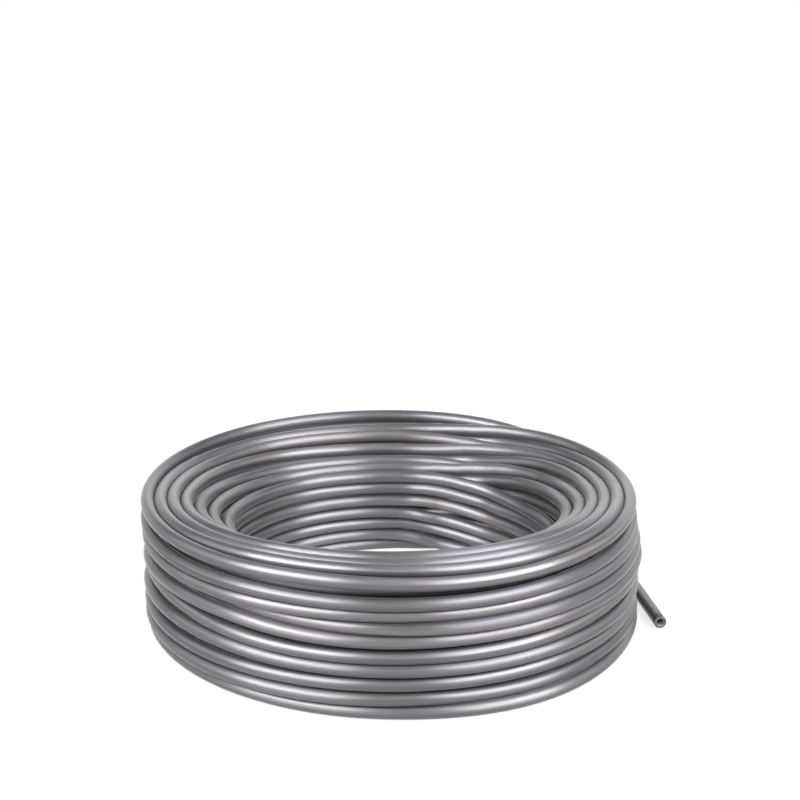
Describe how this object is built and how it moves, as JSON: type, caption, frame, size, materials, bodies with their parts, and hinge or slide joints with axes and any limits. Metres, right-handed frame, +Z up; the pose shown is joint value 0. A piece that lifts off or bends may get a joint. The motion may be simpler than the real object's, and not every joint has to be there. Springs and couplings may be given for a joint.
{
  "type": "coil of pneumatic tubing",
  "caption": "Free-standing round coil of glossy silver-grey air tubing, wound in layers without a spool, with one square-cut end running out on the floor.",
  "frame": {"origin": "on the coil's axis, at the level of the floor that it lies on", "axes": "+Z up along the coil's axis, +X to the side where the free end runs out, -Y the way the free end points"},
  "size_m": [0.3295, 0.3154, 0.0865],
  "materials": {
    "tubing": "smooth extruded plastic, silver-grey"
  },
  "bodies": {
    "root": {"wound_coil": "tubing", "free_end": "tubing"}
  },
  "joints": []
}
